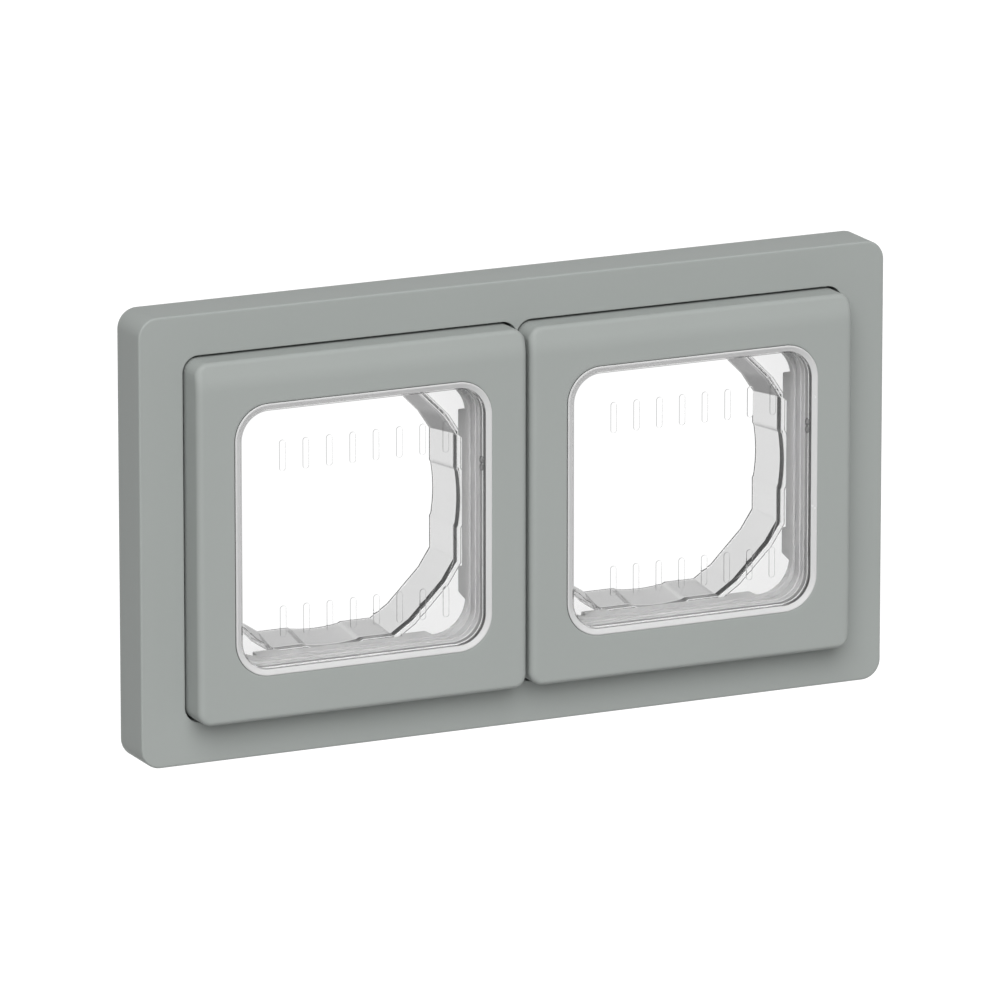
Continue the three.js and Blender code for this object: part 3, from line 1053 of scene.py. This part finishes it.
@dataclass
class MouldingNub:
    """Small double dome left by the mould on the inner wall of a bead, at its right side."""

    side: Side
    height: float = 9.9
    spacing: float = 1.5
    wall_inset: float = 3.85
    behind_front: float = 2.15
    radii: tuple[float, float, float] = (0.72, 0.5, 0.86)
    latitude_end: float = 0.46
    rings: int = 12
    around: int = 24

    def build(self, wardrobe: Wardrobe) -> bpy.types.Object:
        """Builds both domes as ellipsoids: rings of latitude round the depth axis, closed by two caps.

        Args:
            wardrobe: Dresses the piece.

        Returns:
            The nub.
        """
        box = NodeBox.of(self.side.node("membrane_rim"))
        wall, front = box.high[0] - self.wall_inset, box.low[1]
        latitude = np.linspace(-self.latitude_end, self.latitude_end, self.rings) * np.pi
        longitude = np.arange(self.around) * 2 * np.pi / self.around
        rx, ry, rz = self.radii
        shell = Shell(f"{self.side.value}_rim_nub")
        for offset in (-self.spacing / 2, self.spacing / 2):
            middle = np.array([wall, front + self.behind_front, box.centre[1] + self.height + offset])
            x = rx * np.cos(latitude)[:, None] * np.cos(longitude)
            z = rz * np.cos(latitude)[:, None] * np.sin(longitude)
            y = np.broadcast_to(ry * np.sin(latitude)[:, None], x.shape)
            loops = np.stack([x, y, z], -1) + middle
            shell.grid(loops)
            for loop in (loops[0], loops[-1]):
                shell.plate(loop[:, ::2], [], loop[0, 1])
        return wardrobe.dress(shell.build(), CLEAR_NUB, FIXED_BODY)


@dataclass
class MembranePane:
    """Clear pane of one gang: a thin plate with two rows of finger ribs. It rocks."""

    side: Side
    corner_radius: float = 5.7
    web_reach: float = 0.1
    edge_radius: float = 0.05
    thickness: float = 0.7
    rib_count: int = 8
    rib_pitch: float = 4.97
    rib_width: float = 1.27
    rib_length: float = 6.2
    rib_height: float = 0.3
    rib_edge: float = 0.1
    rib_foot: float = 0.06
    rib_root: float = 0.05
    rib_end_flat: float = 0.03
    face_margin: float = 0.3
    row_height: float = 16.55
    sampling: Sampling = Sampling(40, 40, 20)

    def rib_centres(self, centre: tuple[float, float]) -> Array:
        """Places of the ribs: an even row above the middle and the same row below it.

        Args:
            centre: Middle of the pane.

        Returns:
            Array of shape (ribs, 2).
        """
        along = (np.arange(self.rib_count) - (self.rib_count - 1) / 2) * self.rib_pitch + centre[0]
        rows = np.array([-self.row_height, self.row_height]) + centre[1]
        return np.stack(np.meshgrid(along, rows), -1).reshape(-1, 2)

    def build(self, wardrobe: Wardrobe) -> bpy.types.Object:
        """Builds the plate as a profile round its outline, with a flat face that the ribs stand on.

        Args:
            wardrobe: Dresses the piece.

        Returns:
            The pane.
        """
        box = NodeBox.of(self.side.node("membrane_pane"))
        face = box.low[1] + self.rib_height
        back = face + self.thickness
        outline = box.outline(self.corner_radius, self.sampling, -self.web_reach)
        margin = self.edge_radius + self.face_margin
        profile = [(margin, face)]
        profile += round_edge(0.0, face, self.edge_radius, 4)
        profile += [(0.0, back - self.edge_radius), (self.edge_radius, back), (margin, back)]
        shell = Shell(f"{self.side.value}_pane_body")
        shell.sweep(outline, profile)
        half_width = self.rib_width / 2
        stadium = RoundedRect(
            half_width, self.rib_length / 2, half_width - self.rib_end_flat, sampling=Sampling(1, 8, 8)
        )
        top, edge = box.low[1], self.rib_edge
        loops = [(-self.rib_foot, face), (0.0, face - self.rib_root), (0.0, top + edge)]
        loops += [(edge * KNEE, top + edge * KNEE), (edge, top)]
        feet = []
        for place in self.rib_centres(box.centre):
            lift = np.array([place[0], 0.0, place[1]])
            shell.grid(np.stack([at_depth(stadium.points(inset), y) + lift for inset, y in loops]))
            shell.plate(stadium.points(edge) + place, [], top)
            feet.append(stadium.points(loops[0][0]) + place)
        shell.plate(outline.points(profile[0][0]), feet, face)
        shell.plate(outline.points(profile[-1][0]), [], back)
        body = f"{self.side.value}_pane"
        return wardrobe.dress(shell.build(), CLEAR_MEMBRANE, body, self.side.node("membrane_pane"))


@dataclass
class Retainer:
    """Inner frame of one gang, seen through the pane: a clamp flange and a skirt with stepped snap tabs."""

    side: Side
    clamp_thickness: float = 1.6
    clamp_corner_radius: float = 10.1
    throat_inset: float = 4.75
    throat_corner_radius: float = 6.8
    mouth_inset: float = 4.25
    mouth_corner_radius: float = 5.9
    mouth_depth: float = 3.8
    line_depth: float = 1.5
    wall: float = 1.7
    tab_start: float = 13.2
    tab_end: float = 18.6
    middle_rise: float = 1.7
    corner_rise: float = 3.3
    tab_blend: float = 0.1
    groove_depth: float = 0.22
    mouth_edge: float = 0.2
    mouth_edge_depth: float = 0.15
    line_edge: float = 0.05
    line_end: float = 0.9
    line_end_edge: float = 0.8
    throat_edge: float = 0.05
    throat_edge_depth: float = 0.12
    throat_line: float = 1.7
    throat_line_end: float = 1.85
    rear_land: float = 0.5
    rear_edge: float = 0.18
    clamp_edge: float = 0.1
    sampling: Sampling = Sampling(190, 190, 16)

    def rear_depth(self, flat: Array, box: NodeBox) -> Array:
        """Depth of the rear edge: deepest at the tabs, less in the middle of a side, least at the corners.

        The distance from the middle of the side, which is the smaller of the two offsets from the
        gang's centre, picks the step.

        Args:
            flat: Points of a loop in X and Z.
            box: The retainer's box.

        Returns:
            One depth for each point.
        """
        offset = np.abs(flat - np.array(box.centre))
        along = offset.min(1)
        tab = smooth(along, self.tab_start - self.tab_blend, self.tab_start + self.tab_blend)
        corner = smooth(along, self.tab_end - self.tab_blend, self.tab_end + self.tab_blend)
        rise = self.middle_rise * (1 - tab) + self.corner_rise * corner
        return box.high[1] - rise

    def build(self, wardrobe: Wardrobe) -> bpy.types.Object:
        """Builds the retainer as one closed grid from its mouth down the throat and back outside.

        Args:
            wardrobe: Dresses the piece.

        Returns:
            The retainer.
        """
        box = NodeBox.of(self.side.node("retainer"))
        front = box.low[1]
        clamp = box.outline(self.clamp_corner_radius, self.sampling)
        mouth = box.outline(self.mouth_corner_radius, self.sampling, self.mouth_inset)
        throat = box.outline(self.throat_corner_radius, self.sampling, self.throat_inset)
        shelf = front + self.mouth_depth
        groove = self.groove_depth
        rows = [
            at_depth(mouth.points(-self.mouth_edge), front),
            at_depth(mouth.points(), front + self.mouth_edge_depth),
            at_depth(mouth.points(), front + self.line_depth),
            at_depth(mouth.points(groove), front + self.line_depth + self.line_edge),
            at_depth(mouth.points(groove), shelf - self.line_end),
            at_depth(mouth.points(), shelf - self.line_end_edge),
            at_depth(mouth.points(), shelf),
            at_depth(throat.points(0.0) * 0.5 + mouth.points() * 0.5, shelf),
            at_depth(throat.points(-self.throat_edge), shelf),
            at_depth(throat.points(), shelf + self.throat_edge_depth),
            at_depth(throat.points(), shelf + self.throat_line),
            at_depth(throat.points(-groove), shelf + self.throat_line_end),
        ]
        inner = throat.points(-groove)
        rear = self.rear_depth(inner, box)
        outer = throat.points(-self.wall)
        edge = self.rear_edge
        rows += [
            at_depth(inner, rear - self.rear_land),
            at_depth(inner, rear - edge),
            at_depth(throat.points(-groove - edge), rear),
            at_depth(throat.points(-self.wall + edge), rear),
            at_depth(outer, rear - edge),
            at_depth(outer, rear - self.rear_land),
            at_depth(outer, front + self.clamp_thickness),
            at_depth(clamp.points(), front + self.clamp_thickness),
            at_depth(clamp.points(), front + self.clamp_edge),
            at_depth(clamp.points(self.clamp_edge), front),
        ]
        shell = Shell(f"{self.side.value}_retainer_body")
        shell.grid(np.stack(rows), closed=True)
        return wardrobe.dress(shell.build(), INNER_GREY, FIXED_BODY, self.side.node("retainer"))


@dataclass
class SealingCollar:
    """Clear seal of one gang: a flange in the frame's back and a scalloped collar that tapers behind it."""

    side: Side
    flange_corner_radius: float = 5.0
    wall: float = 0.85
    flat: float = 27.1
    flat_end: float = 13.1
    corner_start: float = 17.2
    shoulder_drop: float = 2.7
    arc_half: float = 6.1
    bulge: float = 0.75
    jog: float = 0.28
    jog_run: float = 0.5
    taper: float = 0.952
    lip_depth: float = 0.4
    lip_play: float = 0.02
    lip_edge: float = 0.12
    flange_edge: float = 0.15
    tip_edge: float = 0.2
    wall_start: float = 0.5
    wall_rows: int = 9
    flat_steps: int = 10
    arc_steps: int = 41
    corner_steps: int = 8

    def outline(self, scale: float) -> Array:
        """Scalloped outline: on each side an outward arc between two flats, and facets round the corner.

        The distance of a side from the centre is a function of the place along it: flat, a short step
        out, a parabola that bulges, the same step back, flat, and a slope to the corner facet. The
        side is then turned by quarter turns.

        Args:
            scale: Size of the outline, where 1 is its size at the flange.

        Returns:
            Points in X and Z round the gang's centre.
        """
        inner = self.arc_half - self.jog_run
        places = np.concatenate([
            np.linspace(-self.flat_end, -self.arc_half, self.flat_steps),
            np.linspace(-inner, inner, self.arc_steps),
            np.linspace(self.arc_half, self.flat_end, self.flat_steps),
            np.linspace(self.flat_end, self.corner_start, self.corner_steps)[1:],
        ])
        within = np.abs(places) <= inner + TINY
        arc = self.jog + (self.bulge - self.jog) * (1 - (places / inner) ** 2)
        slope = np.clip(places - self.flat_end, 0, None) / (self.corner_start - self.flat_end)
        distance = self.flat + np.where(within, arc, 0.0) - self.shoulder_drop * slope
        start = np.array([places[-1], distance[-1]])
        facet = np.linspace(0, 1, self.corner_steps)[1:, None]
        side = np.stack([distance, places], 1)
        corner = start[::-1] * (1 - facet) + start * facet
        last = slice(1 - self.corner_steps, -1)
        slope_back = np.stack([places[last][::-1], distance[last][::-1]], 1)
        quarter_loop = np.concatenate([side, corner, slope_back])
        turns = []
        for turn in range(4):
            c, s = round(math.cos(turn * math.pi / 2)), round(math.sin(turn * math.pi / 2))
            turns.append(quarter_loop @ np.array([[c, s], [-s, c]]))
        return np.concatenate(turns) * scale

    def build(self, wardrobe: Wardrobe) -> bpy.types.Object:
        """Builds the flange as two flat faces with a rim, and the collar as loops that shrink backwards.

        Args:
            wardrobe: Dresses the piece.

        Returns:
            The collar.
        """
        box = NodeBox.of(self.side.node("sealing_collar"))
        front, rear = box.low[1], box.high[1]
        shell = Shell(f"{self.side.value}_collar_body")
        flange = box.outline(self.flange_corner_radius, COARSE)
        centre = np.array(box.centre)
        thin = 1 - self.wall / self.flat
        bevel = self.flange_edge
        edge = self.tip_edge / self.flat
        knee = self.tip_edge * KNEE
        loops = []
        depths = [0.0, bevel, *np.linspace(self.wall_start, rear - self.tip_edge, self.wall_rows)]
        for y in depths:
            loops.append((1 - (1 - self.taper) * y / rear, y))
        tip = self.taper
        loops.append((tip - knee / self.flat, rear - knee))
        loops.append((tip - edge, rear))
        loops.append((tip * thin + edge, rear))
        loops.append((tip * thin + knee / self.flat, rear - knee))
        for y in depths[::-1]:
            loops.append((thin * (1 - (1 - self.taper) * y / rear), y))
        seat = 1 + self.lip_play / self.flat
        loops.append((thin, front + self.lip_depth))
        loops.append((seat, front + self.lip_depth))
        loops.append((seat, front))
        shell.grid(np.stack([at_depth(self.outline(scale) + centre, y) for scale, y in loops]))
        shell.sweep(flange, [(bevel, front), (0.0, front + bevel), (0.0, -bevel), (bevel, 0.0)])
        shell.plate(flange.points(bevel), [self.outline(loops[-1][0]) + centre], front)
        shell.plate(flange.points(bevel), [self.outline(1.0) + centre], 0.0)
        self.build_lip(wardrobe, thin, front, centre)
        return wardrobe.dress(shell.build(), CLEAR_COLLAR, FIXED_BODY, self.side.node("sealing_collar"))

    def build_lip(self, wardrobe: Wardrobe, thin: float, front: float, centre: Array) -> bpy.types.Object:
        """Builds the soft lip that caps the front of the collar's wall, as a closed ring of six loops.

        Args:
            wardrobe: Dresses the piece.
            thin: Size of the wall's inside over its outside.
            front: Depth of the lip's face.
            centre: The gang's centre in X and Z.

        Returns:
            The lip.
        """
        rear = front + self.lip_depth - self.lip_play
        edge, foot = self.lip_edge / self.flat, front + self.lip_edge
        loops = [(1.0, rear), (1.0, foot), (1.0 - edge, front), (thin + edge, front)]
        loops += [(thin, foot), (thin, rear)]
        shell = Shell(f"{self.side.value}_collar_lip")
        shell.grid(np.stack([at_depth(self.outline(scale) + centre, y) for scale, y in loops]), closed=True)
        return wardrobe.dress(shell.build(), CLEAR_LIP, FIXED_BODY)


# ---- Studio ---------------------------------------------------------------------------------------


@dataclass
class Studio:
    """Plain pale floor, one wide soft key from the upper left, a pale surround and the camera."""

    floor_drop: float = 350.0
    floor_half: float = 9000.0
    key_azimuth: float = -22.0
    key_elevation: float = 39.0
    key_spread: float = 55.0
    key_strength: float = 3.04
    surround: float = 0.25
    paper_mottle: float = 400.0
    paper_dark: float = 0.18
    paper_light: float = 0.19
    paper_glow: float = 1.1
    sky: tuple[tuple[float, float], ...] = ((0.0, 1.0), (0.35, 1.0), (0.7, 0.75))
    azimuth: float = -25.272
    elevation: float = 14.374
    distance: float = 2169.157
    target: tuple[float, float, float] = (-2.934, -9.0, 0.473)
    lens: float = 399.09
    sensor: float = 36.0
    sight: float = 100.0

    @staticmethod
    def direction(azimuth: float, elevation: float) -> Vector:
        """Unit vector towards an azimuth and elevation, where azimuth 0 is the front, along minus Y.

        Args:
            azimuth: Degrees round Z.
            elevation: Degrees above the floor.

        Returns:
            The vector.
        """
        a, e = math.radians(azimuth), math.radians(elevation)
        return Vector((math.sin(a) * math.cos(e), -math.cos(a) * math.cos(e), math.sin(e)))

    def floor(self) -> None:
        """Adds the floor: a pale sheet with a faint mottle, under the object."""
        size = self.floor_half * MM
        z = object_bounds()[0][2] - self.floor_drop * MM
        mesh = bpy.data.meshes.new("floor")
        corners = [(-size, -size, z), (size, -size, z), (size, size, z), (-size, size, z)]
        mesh.from_pydata(corners, [], [(0, 1, 2, 3)])
        sheet_object = bpy.data.objects.new("floor", mesh)
        bpy.context.collection.objects.link(sheet_object)
        material, sheet, place = new_material("floor_paper")
        mottle = noise(sheet, place, self.paper_mottle, 2.0)
        tone = mottle.tint((self.paper_dark,) * 3, (self.paper_light,) * 3)
        paper = sheet.add("ShaderNodeBsdfDiffuse", Color=tone, Roughness=0.0)
        glow = sheet.add("ShaderNodeEmission", Color=(1.0, 1.0, 1.0, 1.0), Strength=self.paper_glow)
        ray = sheet.add("ShaderNodeLightPath").output("Is Diffuse Ray")
        mixed = sheet.add("ShaderNodeMixShader", i0=ray, i1=glow, i2=paper)
        sheet.add("ShaderNodeOutputMaterial", Surface=mixed)
        mesh.materials.append(material)
        sheet_object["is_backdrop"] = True

    def lights(self) -> None:
        """Adds the key and the surround, which is white to the eye and dimmer as a light."""
        lamp = bpy.data.lights.new("key", "SUN")
        lamp.energy = self.key_strength
        lamp.angle = math.radians(self.key_spread)
        key = bpy.data.objects.new("key", lamp)
        aim = self.direction(self.key_azimuth, self.key_elevation)
        key.rotation_euler = aim.to_track_quat("Z", "Y").to_euler()
        bpy.context.collection.objects.link(key)
        world = bpy.data.worlds.new("surround")
        bpy.context.scene.world = world
        world.use_nodes = True
        sheet = NodeSheet(world.node_tree)
        up = sheet.add("ShaderNodeTexCoord").output("Generated")
        height = sheet.add("ShaderNodeSeparateXYZ", Vector=up).output("Z")
        seen = sheet.add("ShaderNodeValToRGB", {"stops": self.sky}, Fac=height)
        bright = sheet.add("ShaderNodeBackground", Color=seen, Strength=1.0)
        dim = sheet.add("ShaderNodeBackground", Color=seen, Strength=self.surround)
        ray = sheet.add("ShaderNodeLightPath").output("Is Diffuse Ray")
        mixed = sheet.add("ShaderNodeMixShader", i0=ray, i1=bright, i2=dim)
        sheet.add("ShaderNodeOutputWorld", Surface=mixed)

    def camera(self) -> None:
        """Adds the camera on its line of sight, with a long lens and no shift."""
        data = bpy.data.cameras.new("camera")
        data.lens = self.lens
        data.sensor_width = self.sensor
        data.clip_end = self.sight
        camera = bpy.data.objects.new("camera", data)
        back = self.direction(self.azimuth, self.elevation)
        camera.location = (Vector(self.target) + back * self.distance) * MM
        camera.rotation_euler = back.to_track_quat("Z", "Y").to_euler()
        bpy.context.collection.objects.link(camera)
        bpy.context.scene.camera = camera
        bpy.context.scene.view_settings.view_transform = "Standard"

    def build(self) -> None:
        """Sets up the whole studio."""
        self.floor()
        self.lights()
        self.camera()


# ---- Assembly -------------------------------------------------------------------------------------

Builder = OuterFrame | SoftRing | Cover | MembraneRim | MouldingNub | MembranePane | Retainer | SealingCollar


def main() -> None:
    """Builds every sub-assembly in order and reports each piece."""
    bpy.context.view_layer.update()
    Studio().build()
    wardrobe = Wardrobe()
    builders: list[Builder] = [
        OuterFrame(),
        SoftRing("wall_gasket", width=2.8, corner_radius=2.0),
    ]
    for side in Side:
        builders += [
            Cover(side),
            SoftRing(side.node("cover_seal"), width=2.0, corner_radius=2.8, edge=0.15),
            MembraneRim(side),
            MouldingNub(side),
            MembranePane(side),
            Retainer(side),
            SealingCollar(side),
        ]
    for builder in builders:
        piece = builder.build(wardrobe)
        LOG.info("%s is made by %s", piece.name, type(builder).__name__)


if __name__ == "__main__":
    logging.basicConfig(level=logging.INFO, format="%(name)s: %(message)s")
    main()
